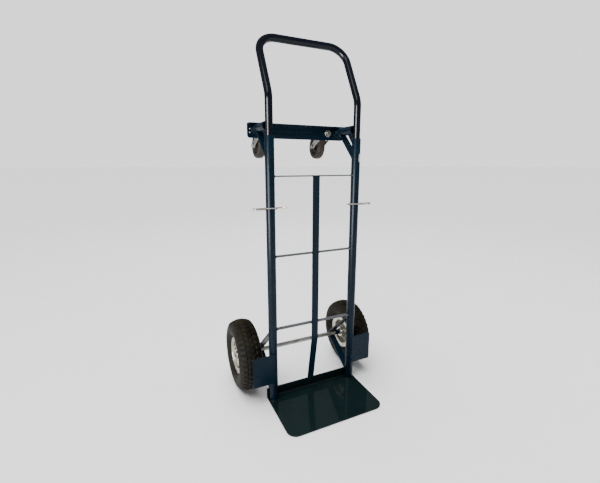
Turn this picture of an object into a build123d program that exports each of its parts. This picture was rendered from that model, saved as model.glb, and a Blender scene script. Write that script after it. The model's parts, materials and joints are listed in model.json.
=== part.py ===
"""Convertible two-in-one hand truck, standing upright on its toe plate and two wheels.

Frame: +X to the right, -Y forward over the toe plate, +Z up. The origin is on the ground,
midway between the rails and in their common plane. All sizes are in millimetres.
"""
from build123d import *
import math
import os

SIDES = {"left": -1, "right": 1}
over = 1.0                    # how far a cut runs past the faces it opens

# ---- rails, handle tube and their fits ----
rail_spacing = 316.0          # centre to centre
rail_od = 30.0
rail_wall = 2.4
rail_top = 916.0              # open upper end of the rails
leg_clearance = 0.6           # radial gap between a handle leg and the tube it slides in
leg_wall = 2.0

# ---- cross members ----
rung_heights = {"top": 793.0, "middle": 532.0, "bottom": 273.0}
rung_depth = 16.0
rung_thickness = 4.0
strap_width = 25.0            # long strap down the middle of the back
strap_thickness = 4.0
strap_bend_height = 215.0     # below this the strap slopes to the rear
strap_bend_radius = 12.0

# ---- toe plate ----
toe_overhang = 20.5           # past a rail's centre, to each side
toe_depth = 213.0             # front edge to the front of the upstand
toe_thickness = 4.0
toe_upstand = 38.0
toe_bend_radius = 5.0         # inside the fold
toe_corner_radius = 33.0

# ---- wheel guards ----
guard_width = 80.0
guard_height = 110.0
guard_bottom = 77.0
guard_thickness = 3.0
guard_corner_radius = 5.0     # of the two outer corners

# ---- axle and its brackets ----
axle_diameter = 16.0
tyre_setback = 4.0            # between the rails' plane and the front of the tyres
bracket_top = 262.0           # where the upper arm meets the rail
bracket_bottom = 34.0
bracket_width = 25.0
bracket_thickness = 5.0
axle_running_gap = 0.05       # radial, in bearings and washers
end_float = 0.4               # sideways play of a turning piece

# ---- main wheels ----
wheel_radius = 130.0
wheel_offset = 70.0           # rail centre to tyre centre
tyre_width = 85.0
tyre_wall = 7.0
tyre_crown_wall = 9.8
tyre_shoulder = 8.0           # how far the shoulders are below the crown
tyre_crown_share = 0.76       # of the width, between the shoulders
tyre_bulge_rise = 2.0         # widest place, above the middle of the sidewall
tube_wall = 1.5               # inner tube
tube_gap = 2.5                # between the inner tube and the tyre
rim_bead_radius = 50.8
rim_flange_radius = 66.0
rim_half_width = 27.0         # wheel centre to the inside of a flange
rim_sheet = 2.2
rim_dish_run = 9.0            # along the axle, from the bolted disc to the barrel
rim_dish_drop = 6.0           # radial
rim_fold_radius = 2.5
rim_vent_radius = 4.0
hub_wall = 3.5
hub_inboard = 34.0            # wheel centre to the hub's inner end
hub_outboard = 26.0
bearing_section = 9.5         # radial, from the axle to the bearing's outside
bearing_width = 11.0
bearing_ball_count = 9
bearing_ring = 2.6            # radial thickness of a bearing ring
rim_bolt_circle = 33.0        # radius
rim_bolt_count = 4
rim_bolt_diameter = 6.0
valve_drop = 8.0              # from the barrel in to the middle of the valve
valve_steps = ((4.5, 5.0), (3.0, 7.0), (4.0, 7.0))   # radius and length of root, stem and cap
washer_thickness = 2.5
washer_od = 28.0
cotter_diameter = 4.0
cotter_eye_radius = 4.0

# ---- cart-mode sockets and the caster bar ----
socket_gap = 3.0              # between the back of the rails and a socket's mouth
socket_length = 116.0
bar_overhang = 29.0           # past a socket's centre, to each side
bar_height = 48.0
bar_flange = 24.0
bar_thickness = 4.0
bar_corner_radius = 10.0
bar_hole_inset = 9.0          # from each end of the bar to a pair of small holes
bar_hole_pitch = 12.0
bar_hole_radius = 1.6
gusset_thickness = 4.0
gusset_drop = 26.0            # how far a gusset reaches down the rail
gusset_reach = 52.0           # how far it reaches back along the socket
brace_drop = 66.0             # from the rails' open ends down to the foot of a brace strap
brace_reach = 97.0            # where it meets the socket, behind the rails' plane
brace_width = 25.0
brace_thickness = 5.0

# ---- casters ----
caster_spacing = 240.0        # kingpin to kingpin
caster_wheel_radius = 45.0
caster_wheel_width = 28.0
caster_shoulder_radius = 6.0
caster_core_radius = 33.0
caster_core_rim = 4.0         # thickness of the core under the tyre
caster_core_draft = 1.0       # taper of the moulding, and its step in from the tyre's faces
caster_web_half = 5.0
caster_boss_radius = 9.5
caster_boss_flare = 2.0
caster_boss_gap = 1.0         # from each end of the boss to the fork
bush_wall = 2.0
caster_trail = 44.0
kingpin_diameter = 10.0
race_radius = 23.0
race_thickness = 4.0
race_lip_width = 2.0
race_lip_depth = 3.0
ball_radius = 3.0
ball_circle = 17.0            # radius
ball_count = 14
ball_gap = 0.3
fork_sheet = 3.0
fork_inner_gap = 37.0
fork_crown_radius = 22.0
fork_root_height = 33.0       # of a leg where it leaves the crown
fork_eye_radius = 11.0
kingpin_washer_radius = 12.0
caster_bolt_diameter = 8.0

# ---- handle ----
handle_bend_rise = 119.0      # from the rails' open ends up to where the legs lean back
handle_lean = 28.0            # degrees
handle_lean_length = 212.0    # bend to the grip's centre
handle_lean_radius = 70.0
handle_corner_radius = 60.0
leg_length = 615.0            # straight leg below the bend

# ---- hairpins and their holes ----
pin_diameter = 4.2
pin_hole_clearance = 0.4      # radial
rail_pin_height = 690.0
socket_pin_depth = 82.0       # from a socket's mouth to its hairpin hole
pin_front_gap = 1.5           # between the rail and the pin's outer leg
pin_inboard = 46.0            # rail centre to the pin's inner tip
pin_outboard = 59.0           # rail centre to the middle of the wire's loop
pin_through = 8.0             # how far the straight leg passes the rail
pin_bend_radius = 8.0
pin_tip = (12.0, 8.0)         # length and kick of the curled tip

# ---- worked out from the above ----
rail_x = rail_spacing / 2
rail_radius = rail_od / 2
tube_bore = rail_od - 2 * rail_wall
leg_od = tube_bore - 2 * leg_clearance
pin_hole = pin_diameter + 2 * pin_hole_clearance
wheel_x = rail_x + wheel_offset
toe_width = rail_spacing + 2 * toe_overhang
bar_length = rail_spacing + 2 * bar_overhang
bearing_od = axle_diameter + 2 * bearing_section
hub_radius = bearing_od / 2 + hub_wall
axle_radius = axle_diameter / 2
axle_height = wheel_radius
axle_offset = wheel_radius + tyre_setback   # behind the rails' plane
tyre_middle_radius = (wheel_radius + rim_bead_radius) / 2 + tyre_bulge_rise
upstand_front = rail_radius   # the upstand stands against the back of the rails
upstand_rear = upstand_front + toe_thickness
toe_front = upstand_front - toe_depth
socket_mouth = rail_radius + socket_gap
caster_bar_front = socket_mouth + socket_length
bar_rear = caster_bar_front + bar_thickness
socket_z = rail_top + 2 * rail_radius
brace_foot = rail_top - brace_drop
handle_bend_z = rail_top + handle_bend_rise
bar_top = socket_z + rail_radius + bar_thickness
bar_bottom = bar_top - bar_height
kingpin_z = (bar_top + bar_bottom) / 2
kingpin_x = caster_spacing / 2
crown_front = bar_rear + race_thickness + ball_gap + 2 * ball_radius
caster_axle_y = axle_offset + wheel_radius - caster_wheel_radius
caster_axle_z = kingpin_z - caster_trail
bar_root = rail_radius / 3    # behind the rails' plane, where flat bars welded to a rail start


def rod(start, direction, radius, length):
    """Solid round bar that starts at a point and runs along a direction."""
    along = Align.CENTER, Align.CENTER, Align.MIN
    return Plane(origin=start, z_dir=direction) * Cylinder(radius, length, align=along)


def ring(start, direction, outer, inner, length):
    """Round tube or washer."""
    back = tuple(s - over * d for s, d in zip(start, direction))
    return rod(start, direction, outer, length) - rod(back, direction, inner, length + 2 * over)


def strip(lines, thickness, width, x=0.0):
    """Flat bar that follows lines drawn in the Y-Z plane, centred across x."""
    outline = trace(lines, line_width=thickness)
    return Pos(x, 0, 0) * extrude(Plane.YZ * outline, amount=width / 2, both=True)


def plate_yz(points, thickness, x):
    """Flat plate with a polygon outline in the Y-Z plane."""
    outline = make_face(Polyline(*points, close=True))
    return Pos(x, 0, 0) * extrude(Plane.YZ * outline, amount=thickness / 2, both=True)


def turned(points, x, y, z):
    """Solid of revolution about an X axis through (x, y, z); points are (along X, radius)."""
    outline = make_face(Polyline(*points, close=True))
    return Pos(x, y, z) * revolve(outline, Axis.X)


def hexagon(start, direction, across_flats, length):
    """Hexagonal prism for a bolt head or a nut."""
    corner_radius = across_flats / math.sqrt(3)
    return extrude(Plane(origin=start, z_dir=direction) * RegularPolygon(corner_radius, 6), length)


# ---- frame ----

def rail(side):
    """Upright tube, open at the top, with the hairpin's cross hole."""
    x = side * rail_x
    tube = ring((x, 0, toe_thickness), (0, 0, 1), rail_radius, tube_bore / 2, rail_top - toe_thickness)
    cross_hole = rod((x - rail_od, 0, rail_pin_height), (1, 0, 0), pin_hole / 2, 2 * rail_od)
    return tube - cross_hole - toe_plate()


def rail_envelopes():
    """Solid cylinders over both rails, to cope what is welded to them."""
    return [rod((side * rail_x, 0, -rail_od), (0, 0, 1), rail_radius, rail_top + rail_od)
            for side in SIDES.values()]


def rung(height):
    """Flat cross bar, coped to the rails."""
    return Pos(0, 0, height) * Box(2 * rail_x, rung_depth, rung_thickness) - rail_envelopes()


def centre_strap():
    """Long strap on the rungs' front edges, sloping back to the rear of the upstand."""
    front = -(rung_depth + strap_thickness) / 2
    rear = upstand_rear + strap_thickness / 2
    foot = toe_thickness + toe_bend_radius
    top = rung_heights["top"] + rung_thickness / 2
    path = FilletPolyline((front, top), (front, strap_bend_height),
                          (rear, toe_upstand + strap_thickness), (rear, foot), radius=strap_bend_radius)
    return strip(path, strap_thickness, strap_width)


def toe_plate():
    """Load plate folded up at the rear, with rounded front corners."""
    middle = toe_thickness / 2
    path = FilletPolyline((toe_front, middle), (upstand_front + middle, middle),
                          (upstand_front + middle, toe_upstand), radius=toe_bend_radius + middle)
    plate = strip(path, toe_thickness, toe_width)
    corners = plate.edges().filter_by(Axis.Z).group_by(Axis.Y)[0]
    return fillet(corners, toe_corner_radius)


def guard_plate(side):
    """Flat plate on the front of the rail that keeps the load off the tyre."""
    middle = side * (rail_x + guard_width / 2)
    front = -(rail_radius + guard_thickness / 2)
    plate = Box(guard_width, guard_thickness, guard_height)
    outer = plate.edges().filter_by(Axis.Y).sort_by(Axis.X, reverse=side > 0)[:2]
    return Pos(middle, front, guard_bottom + guard_height / 2) * fillet(outer, guard_corner_radius)


def tangent_point(start, centre, radius, turn):
    """Point where a line from start touches a circle; turn is +1 or -1 for which side."""
    away = math.atan2(start[1] - centre[1], start[0] - centre[0])
    gap = math.dist(start, centre)
    angle = away + turn * math.acos(radius / gap)
    return centre[0] + radius * math.cos(angle), centre[1] + radius * math.sin(angle)


def axle_bracket(side):
    """Flat bar bent round the axle, with both arms welded to the back of the rail."""
    centre = (axle_offset, axle_height)
    radius = axle_radius + bracket_thickness / 2
    upper, lower = (bar_root, bracket_top), (bar_root, bracket_bottom)
    above = tangent_point(upper, centre, radius, -1)
    below = tangent_point(lower, centre, radius, 1)
    behind = (centre[0] + radius, centre[1])
    path = [Line(upper, above), ThreePointArc(above, behind, below), Line(below, lower)]
    bar = strip(path, bracket_thickness, bracket_width, side * rail_x)
    return bar - rail_envelopes() - toe_plate()


def axle():
    """Straight axle through both brackets and wheels."""
    half = axle_half_length()
    bar = rod((-half, axle_offset, axle_height), (1, 0, 0), axle_radius, 2 * half)
    for side in SIDES.values():
        x = side * cotter_x()
        hole = rod((x, axle_offset, axle_height - axle_diameter), (0, 0, 1),
                   cotter_diameter / 2, 2 * axle_diameter)
        bar = bar - hole
    return bar


def cotter_x():
    """Distance of a cotter pin from the middle of the axle."""
    return wheel_x + hub_outboard + end_float + washer_thickness + end_float + cotter_diameter / 2


def axle_half_length():
    """Half the axle's length: it ends one diameter of the cotter past the cotter."""
    return cotter_x() + 1.5 * cotter_diameter


def axle_spacers():
    """Pipe spacers between the brackets and the inner washers."""
    start = rail_x + bracket_width / 2
    end = wheel_x - hub_inboard - end_float - washer_thickness
    return [ring((side * start, axle_offset, axle_height), (side, 0, 0), axle_radius + rail_wall,
                 axle_radius + axle_running_gap, end - start) for side in SIDES.values()]


def axle_washers():
    """Flat washers on both ends of both hubs."""
    inner = wheel_x - hub_inboard - end_float - washer_thickness
    outer = wheel_x + hub_outboard + end_float
    return [ring((side * x, axle_offset, axle_height), (side, 0, 0), washer_od / 2,
                 axle_radius + axle_running_gap, washer_thickness)
            for side in SIDES.values() for x in (inner, outer)]


def cotter_pins():
    """Split pins through the axle's ends: a shank and a ring-shaped eye above it."""
    pins = []
    wire = cotter_diameter / 2 - axle_running_gap
    for side in SIDES.values():
        x = side * cotter_x()
        length = axle_diameter + 3 * cotter_diameter
        shank = rod((x, axle_offset, axle_height - length / 2), (0, 0, 1), wire, length)
        eye = Rot(0, 90, 0) * Torus(cotter_eye_radius, wire)
        pins.append(shank + Pos(x, axle_offset, axle_height + length / 2 + cotter_eye_radius) * eye)
    return pins


# ---- cart-mode sockets and caster bar ----

def socket(side):
    """Tube that takes a handle leg when the truck is used as a cart."""
    x = side * rail_x
    tube = ring((x, socket_mouth, socket_z), (0, 1, 0), rail_radius, tube_bore / 2, socket_length)
    hole_start = (x - rail_od, socket_mouth + socket_pin_depth, socket_z)
    return tube - rod(hole_start, (1, 0, 0), pin_hole / 2, 2 * rail_od)


def socket_envelopes():
    """Solid cylinders over both sockets, to cope what is welded to them."""
    return [rod((side * rail_x, socket_mouth, socket_z), (0, 1, 0), rail_radius, socket_length)
            for side in SIDES.values()]


def gusset(side):
    """Triangular plate in the corner between a rail's end and its socket."""
    inside = rail_radius / 2
    outline = [(inside, rail_top - gusset_drop), (inside, rail_top), (socket_mouth, rail_top),
               (socket_mouth, socket_z), (gusset_reach, socket_z),
               (gusset_reach, socket_z - rail_radius), (rail_radius, rail_top - gusset_drop)]
    plate = plate_yz(outline, gusset_thickness, side * rail_x)
    return plate - rail_envelopes() - socket_envelopes()


def brace_strap(side):
    """Flat diagonal brace from the back of a rail to the underside of its socket."""
    start = (bar_root, brace_foot)
    slope = (socket_z - rail_radius - brace_foot) / (brace_reach - rail_radius)
    end_z = socket_z - rail_radius / 2
    end = (start[0] + (end_z - brace_foot) / slope, end_z)
    bar = strip(Line(start, end), brace_thickness, brace_width, side * rail_x)
    solid = bar - rail_envelopes() - socket_envelopes()
    return solid.solids().sort_by(SortBy.VOLUME)[-1]


def caster_bar():
    """Angle across both sockets: a face that carries the casters and a flange along its top."""
    middle = bar_thickness / 2
    path = Polyline((caster_bar_front + middle, bar_bottom), (caster_bar_front + middle, bar_top - middle),
                    (caster_bar_front - bar_flange, bar_top - middle))
    bar = strip(path, bar_thickness, bar_length)
    lower = bar.edges().filter_by(Axis.Y).group_by(Axis.Z)[0]
    bar = fillet(lower, bar_corner_radius)
    for side in SIDES.values():
        holes = [(kingpin_x, kingpin_z, kingpin_diameter / 2 + pin_hole_clearance)]
        holes += [(bar_length / 2 - bar_hole_inset, kingpin_z + h * bar_hole_pitch / 2, bar_hole_radius)
                  for h in (-1, 1)]
        for x, z, radius in holes:
            bar = bar - rod((side * x, caster_bar_front - over, z), (0, 1, 0), radius,
                            bar_thickness + 2 * over)
    return bar


# ---- casters ----

def kingpins():
    """Shouldered pins that hold the casters: head behind the crown, shank through the bar."""
    head_depth = 6.0
    thread = 12.0
    back = crown_front + fork_sheet + end_float
    pins = []
    for side in SIDES.values():
        x = side * kingpin_x
        start = caster_bar_front - thread
        shank = rod((x, start, kingpin_z), (0, 1, 0), kingpin_diameter / 2, back - start)
        pins.append(shank + rod((x, back, kingpin_z), (0, 1, 0), kingpin_diameter, head_depth))
    return pins


def kingpin_nuts():
    """Hexagon nuts and broad washers on the front of the bar."""
    nut = 9.0
    across_flats = 17.0
    bore = kingpin_diameter / 2
    pieces = []
    for side in SIDES.values():
        x = side * kingpin_x
        seat = caster_bar_front - washer_thickness
        pieces.append(ring((x, seat, kingpin_z), (0, 1, 0), kingpin_washer_radius, bore,
                           washer_thickness))
        body = hexagon((x, seat, kingpin_z), (0, -1, 0), across_flats, nut)
        pieces.append(body - rod((x, seat + over, kingpin_z), (0, -1, 0), bore, nut + 2 * over))
    return pieces


def caster_races():
    """Fixed upper cups behind the bar, with a ring-shaped lip outside the balls."""
    outer = race_radius + race_lip_width
    pieces = []
    for side in SIDES.values():
        start = (side * kingpin_x, bar_rear, kingpin_z)
        cup = ring(start, (0, 1, 0), outer, kingpin_diameter / 2, race_thickness)
        lip = ring((start[0], bar_rear + race_thickness, kingpin_z), (0, 1, 0), outer, race_radius,
                   race_lip_depth)
        pieces.append(cup + lip)
    return pieces


def caster_balls(side):
    """Ring of balls that rides on the fork's crown."""
    y = crown_front - ball_radius
    balls = []
    for step in range(ball_count):
        angle = 2 * math.pi * step / ball_count
        balls.append(Pos(side * kingpin_x + ball_circle * math.cos(angle), y,
                         kingpin_z + ball_circle * math.sin(angle)) * Sphere(ball_radius))
    return balls


def caster_fork(side):
    """Pressed fork: a crown across the kingpin and two tapering legs to the wheel's bolt."""
    x = side * kingpin_x
    leg_x = (fork_inner_gap + fork_sheet) / 2
    crown = rod((x, crown_front, kingpin_z), (0, 1, 0), fork_crown_radius, fork_sheet)
    crown_box = Pos(x, crown_front + fork_sheet / 2, kingpin_z) * Box(
        fork_inner_gap + 2 * fork_sheet, fork_sheet, fork_root_height)
    root_top = kingpin_z + fork_root_height / 2
    root_low = kingpin_z - fork_root_height / 2
    eye = (caster_axle_y, caster_axle_z)
    upper = tangent_point((crown_front, root_top), eye, fork_eye_radius, -1)
    lower = tangent_point((crown_front, root_low), eye, fork_eye_radius, 1)
    outline = make_face([Line((crown_front, root_low), (crown_front, root_top)),
                         Line((crown_front, root_top), upper),
                         ThreePointArc(upper, fork_eye_end(eye, upper, lower), lower),
                         Line(lower, (crown_front, root_low))])
    legs = [Pos(x + s * leg_x, 0, 0) * extrude(Plane.YZ * outline, amount=fork_sheet / 2, both=True)
            for s in SIDES.values()]
    fork = crown + crown_box + legs[0] + legs[1]
    fork = fork - rod((x, crown_front - over, kingpin_z), (0, 1, 0),
                      kingpin_diameter / 2 + axle_running_gap, fork_sheet + 2 * over)
    return fork - rod((x - fork_inner_gap, *eye), (1, 0, 0), caster_bolt_diameter / 2, 2 * fork_inner_gap)


def fork_eye_end(eye, upper, lower):
    """Far point of the rounded end of a fork leg."""
    middle = ((upper[0] + lower[0]) / 2, (upper[1] + lower[1]) / 2)
    reach = math.dist(middle, eye)
    return tuple(c + (c - m) / reach * fork_eye_radius for c, m in zip(eye, middle))


def caster_tread(side):
    """Soft tyre of a caster wheel, with rounded shoulders."""
    x = side * kingpin_x - caster_wheel_width / 2
    tread = ring((x, caster_axle_y, caster_axle_z), (1, 0, 0), caster_wheel_radius,
                 caster_core_radius, caster_wheel_width)
    girth = 2 * math.pi * caster_wheel_radius
    shoulders = tread.edges().filter_by(lambda edge: math.isclose(edge.length, girth, rel_tol=0.001))
    return fillet(shoulders, caster_shoulder_radius)


def caster_core(side):
    """Moulded core of a caster wheel: a dished web and a long boss."""
    half = caster_wheel_width / 2 - caster_core_draft
    boss_half = fork_inner_gap / 2 - caster_boss_gap
    bore = caster_bolt_diameter / 2 + bush_wall + axle_running_gap
    flare = caster_boss_radius + caster_boss_flare
    inside = caster_core_radius - caster_core_rim
    web_end, rim_end = inside - caster_core_draft, inside + caster_core_draft
    points = [(-boss_half, bore), (boss_half, bore), (boss_half, caster_boss_radius),
              (caster_web_half, flare), (caster_web_half, web_end), (half, rim_end),
              (half, caster_core_radius), (-half, caster_core_radius), (-half, rim_end),
              (-caster_web_half, web_end), (-caster_web_half, flare), (-boss_half, caster_boss_radius)]
    return turned(points, side * kingpin_x, caster_axle_y, caster_axle_z)


def caster_bush(side):
    """Steel sleeve that the core turns on, clamped between the fork's legs."""
    start = (side * kingpin_x - fork_inner_gap / 2, caster_axle_y, caster_axle_z)
    bore = caster_bolt_diameter / 2
    return ring(start, (1, 0, 0), bore + bush_wall, bore, fork_inner_gap)


def caster_axle(side):
    """Wheel bolt and nut of a caster."""
    across_flats = 13.0
    head = 5.0
    nut_height = 6.0
    tail = 2.0
    half = fork_inner_gap / 2 + fork_sheet
    x = side * kingpin_x
    eye = (caster_axle_y, caster_axle_z)
    length = 2 * half + nut_height + tail
    shank = rod((x - half, *eye), (1, 0, 0), caster_bolt_diameter / 2, length)
    bolt = shank + hexagon((x - half, *eye), (-1, 0, 0), across_flats, head)
    nut = hexagon((x + half, *eye), (1, 0, 0), across_flats, nut_height)
    return [bolt, nut - rod((x + half - over, *eye), (1, 0, 0), caster_bolt_diameter / 2, length)]


# ---- main wheels ----

def at_wheel(side, piece):
    """Move a piece drawn about the origin to a wheel; +X is outboard before the move."""
    turned_out = piece if side > 0 else mirror(piece, about=Plane.YZ)
    return Pos(side * wheel_x, axle_offset, axle_height) * turned_out


def tyre():
    """Tyre carcass: open between its beads, thickest at the crown."""
    bead_x = rim_half_width - end_float
    side_x = tyre_width / 2
    toe = (bead_x - tyre_wall, rim_bead_radius + end_float)
    heel = (bead_x, rim_bead_radius + end_float)
    lip = (bead_x, rim_flange_radius + end_float)
    shoulder = (tyre_crown_share * side_x, wheel_radius - tyre_shoulder)
    inner_toe = (toe[0], rim_flange_radius)
    inner_side = (side_x - tyre_wall, tyre_middle_radius)
    inner_crown = (0, wheel_radius - tyre_crown_wall)
    inner_shoulder = (tyre_crown_share * inner_side[0], inner_crown[1] - tyre_shoulder)

    def flip(point):
        return (-point[0], point[1])

    outline = [Line(toe, heel), Line(heel, lip),
               ThreePointArc(lip, (side_x, tyre_middle_radius), shoulder),
               ThreePointArc(shoulder, (0, wheel_radius), flip(shoulder)),
               ThreePointArc(flip(shoulder), (-side_x, tyre_middle_radius), flip(lip)),
               Line(flip(lip), flip(heel)), Line(flip(heel), flip(toe)), Line(flip(toe), flip(inner_toe)),
               ThreePointArc(flip(inner_toe), flip(inner_side), flip(inner_shoulder)),
               ThreePointArc(flip(inner_shoulder), inner_crown, inner_shoulder),
               ThreePointArc(inner_shoulder, inner_side, inner_toe),
               Line(inner_toe, toe)]
    return revolve(make_face(outline), Axis.X)


def inner_tube():
    """Air tube inside the tyre, a thin hollow ring."""
    across = tyre_width / 2 - tyre_wall
    above = wheel_radius - tyre_crown_wall - tyre_middle_radius
    section = min(across, above) - tube_gap
    tube = Torus(tyre_middle_radius, section) - Torus(tyre_middle_radius, section - tube_wall)
    return Rot(0, 90, 0) * tube


def rim_half():
    """Outer half of the split rim: bolted disc, barrel, bead seat and flange."""
    middle = rim_sheet / 2
    seat = rim_bead_radius - middle
    flange_x = rim_half_width + middle
    path = FilletPolyline((middle, hub_radius + rim_sheet), (middle, seat - rim_dish_drop),
                          (middle + rim_dish_run, seat), (flange_x, seat), (flange_x, rim_flange_radius),
                          radius=rim_fold_radius)
    half = revolve(trace(path, line_width=rim_sheet), Axis.X)
    collar = ring((0, 0, 0), (1, 0, 0), hub_radius + 2 * rim_sheet, hub_radius, rim_sheet)
    return half + collar - bolt_holes() - vent_holes()


def bolt_holes():
    """Clearance holes for the bolts that join the two rim halves."""
    return [rod(p, (1, 0, 0), rim_bolt_diameter / 2, 4 * rim_sheet) for p in bolt_places(-2 * rim_sheet)]


def bolt_places(x):
    """Centres of the rim bolts at a given distance along the axle."""
    step = 2 * math.pi / rim_bolt_count
    return [(x, rim_bolt_circle * math.cos(i * step), rim_bolt_circle * math.sin(i * step))
            for i in range(rim_bolt_count)]


def vent_holes():
    """Round lightening holes between the bolts."""
    step = 2 * math.pi / rim_bolt_count
    return [rod((-2 * rim_sheet, rim_bolt_circle * math.cos((i + 0.5) * step),
                 rim_bolt_circle * math.sin((i + 0.5) * step)), (1, 0, 0), rim_vent_radius, 4 * rim_sheet)
            for i in range(rim_bolt_count)]


def hub():
    """Hub tube with a bearing seat at each end and a stop between them."""
    tube = ring((-hub_inboard, 0, 0), (1, 0, 0), hub_radius, bearing_od / 2, hub_inboard + hub_outboard)
    stop = ring((bearing_width - hub_inboard, 0, 0), (1, 0, 0), bearing_od / 2,
                bearing_od / 2 - bearing_ring, hub_inboard + hub_outboard - 2 * bearing_width)
    return tube + stop


def wheel_bearings():
    """Two ball bearings: inner and outer rings and the balls between them."""
    inner = axle_radius + axle_running_gap
    outer = bearing_od / 2
    pitch = (inner + outer) / 2
    ball = (outer - inner - 2 * bearing_ring) / 2
    pieces = []
    for start in (-hub_inboard, hub_outboard - bearing_width):
        pieces.append(ring((start, 0, 0), (1, 0, 0), outer, outer - bearing_ring, bearing_width))
        pieces.append(ring((start, 0, 0), (1, 0, 0), inner + bearing_ring, inner, bearing_width))
        for step in range(bearing_ball_count):
            angle = 2 * math.pi * step / bearing_ball_count
            centre = (start + bearing_width / 2, pitch * math.cos(angle), pitch * math.sin(angle))
            pieces.append(Pos(*centre) * Sphere(ball))
    return pieces


def rim_bolts():
    """Bolts and nuts that clamp the two rim halves."""
    across_flats = 10.0
    head = 4.0
    tail = 2.0
    length = 2 * rim_sheet + head + tail
    pieces = []
    for centre in bolt_places(-rim_sheet):
        shank = rod(centre, (1, 0, 0), rim_bolt_diameter / 2, length)
        pieces.append(shank + hexagon(centre, (-1, 0, 0), across_flats, head))
        seat = (rim_sheet, centre[1], centre[2])
        nut = hexagon(seat, (1, 0, 0), across_flats, head)
        pieces.append(nut - rod(seat, (1, 0, 0), rim_bolt_diameter / 2, length))
    return pieces


def valve_stem():
    """Valve in the outer dish of the rim: a rubber root, a brass stem and a cap."""
    x = rim_sheet + rim_dish_run
    z = rim_bead_radius - rim_sheet - valve_drop
    stem = []
    for radius, length in valve_steps:
        stem.append(rod((x, 0, z), (1, 0, 0), radius, length))
        x += length
    return stem[0] + stem[1] + stem[2]


# ---- handle ----

def handle():
    """U-shaped tube: two legs that slide in the rails, leaning back above them to a grip bar."""
    lean = math.radians(handle_lean)
    top_y = handle_lean_length * math.sin(lean)
    top_z = handle_bend_z + handle_lean_length * math.cos(lean)
    foot = handle_bend_z - leg_length
    path = FilletPolyline((-rail_x, 0, foot), (-rail_x, 0, handle_bend_z), (-rail_x, top_y, top_z),
                          (rail_x, top_y, top_z), (rail_x, 0, handle_bend_z), (rail_x, 0, foot),
                          radius=[handle_lean_radius, handle_corner_radius,
                                  handle_corner_radius, handle_lean_radius])
    section = Plane(origin=(-rail_x, 0, foot), z_dir=(0, 0, 1)) * (
        Circle(leg_od / 2) - Circle(leg_od / 2 - leg_wall))
    tube = sweep(section, path=path)
    slot_top = rail_pin_height + pin_hole / 2
    upward = Align.CENTER, Align.CENTER, Align.MIN
    slot = Box(2 * rail_od, pin_hole, slot_top - foot + over, align=upward)
    for side in SIDES.values():
        tube = tube - Pos(side * rail_x, 0, foot - over) * slot
    return tube


def hairpin(side):
    """R-shaped clip: a straight leg through the rail, a loop outboard and a leg in front."""
    front = -(rail_radius + pin_front_gap + pin_diameter / 2)
    loop = rail_x + pin_outboard
    tip = rail_x - pin_inboard
    z = rail_pin_height
    path = FilletPolyline((side * (rail_x - rail_radius - pin_through), 0, z), (side * loop, 0, z),
                          (side * loop, front, z), (side * (tip + pin_tip[0]), front, z),
                          (side * tip, front - pin_tip[1], z), radius=pin_bend_radius)
    start = Plane(origin=path @ 0, z_dir=path % 0)
    return sweep(start * Circle(pin_diameter / 2), path=path)


# ---- build and export ----

def nodes():
    """Every sub-part by its node's name: a solid, or a list of separate solids."""
    parts = {
        "centre_strap": centre_strap(),
        "toe_plate": toe_plate(),
        "axle": axle(),
        "axle_spacers": axle_spacers(),
        "axle_washers": axle_washers(),
        "cotter_pins": cotter_pins(),
        "caster_bar": caster_bar(),
        "kingpins": kingpins(),
        "kingpin_nuts": kingpin_nuts(),
        "caster_races": caster_races(),
        "handle_tube": handle(),
    }
    for name, height in rung_heights.items():
        parts[f"rung_{name}"] = rung(height)
    for name, side in SIDES.items():
        parts[f"rail_{name}"] = rail(side)
        parts[f"guard_plate_{name}"] = guard_plate(side)
        parts[f"axle_bracket_{name}"] = axle_bracket(side)
        parts[f"socket_{name}"] = socket(side)
        parts[f"gusset_{name}"] = gusset(side)
        parts[f"brace_strap_{name}"] = brace_strap(side)
        parts[f"hairpin_{name}"] = hairpin(side)
        parts[f"caster_balls_{name}"] = caster_balls(side)
        parts[f"caster_fork_{name}"] = caster_fork(side)
        parts[f"caster_tread_{name}"] = caster_tread(side)
        parts[f"caster_core_{name}"] = caster_core(side)
        parts[f"caster_bush_{name}"] = caster_bush(side)
        parts[f"caster_axle_{name}"] = caster_axle(side)
        outer = rim_half()
        inner = mirror(outer, about=Plane.YZ)
        for piece, shape in {"tyre": tyre(), "inner_tube": inner_tube(), "rim_outer": outer,
                             "rim_inner": inner, "hub": hub(), "valve_stem": valve_stem()}.items():
            parts[f"{piece}_{name}"] = at_wheel(side, shape)
        for piece, shapes in {"wheel_bearings": wheel_bearings(), "rim_bolts": rim_bolts()}.items():
            parts[f"{piece}_{name}"] = [at_wheel(side, shape) for shape in shapes]
    return parts


def solids_of(shape):
    """The separate solids in a piece or a list of pieces."""
    pieces = shape if isinstance(shape, list) else [shape]
    return [solid for piece in pieces for solid in piece.solids()]


def main():
    """Write one STEP file per sub-part."""
    os.makedirs("parts", exist_ok=True)
    for name, shape in nodes().items():
        solids = solids_of(shape)
        export_step(solids[0] if len(solids) == 1 else Compound(children=solids), f"parts/{name}.step")


main()
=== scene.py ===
"""Looks of a convertible hand truck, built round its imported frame. Sizes are in metres."""
import json
import logging
import math
from dataclasses import dataclass
from enum import Enum
from typing import Callable, Iterable, Sequence

import bpy
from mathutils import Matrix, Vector, noise


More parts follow.
